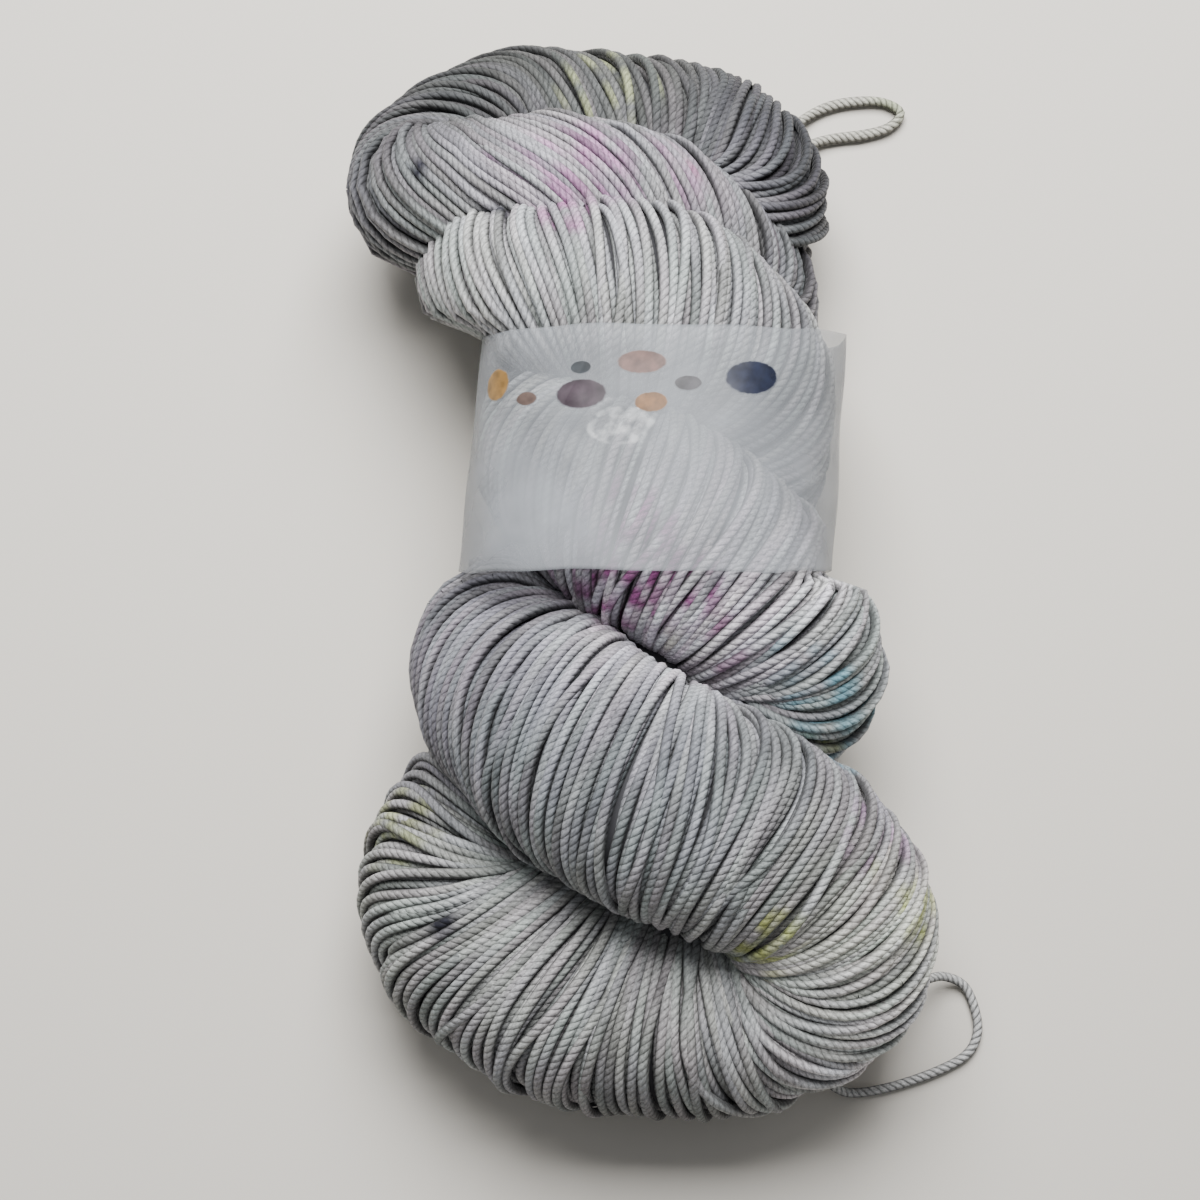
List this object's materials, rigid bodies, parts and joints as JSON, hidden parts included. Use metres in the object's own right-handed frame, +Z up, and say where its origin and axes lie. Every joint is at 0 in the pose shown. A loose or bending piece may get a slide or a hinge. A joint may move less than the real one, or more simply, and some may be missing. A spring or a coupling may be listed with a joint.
{
  "type": "skein of yarn",
  "caption": "Twisted skein of pale grey speckled knitting yarn with a translucent paper band round its waist, lying on its side with a small tie loop",
  "frame": {"origin": "under the middle of the hank, in the plane of the surface that it lies on", "axes": "+Y along the skein towards its top fold, +X to the right seen from above with the top fold away, +Z up"},
  "size_m": [0.1249, 0.2157, 0.063],
  "materials": {
    "yarn": "plied wool, matt with a slight sheen, speckled dye",
    "band_paper": "translucent tracing paper, satin",
    "tie_thread": "plied wool, matt"
  },
  "bodies": {
    "root": {"hank": "yarn", "label_band": "band_paper", "tie_loop": "tie_thread", "slack_loop": "yarn"}
  },
  "joints": []
}
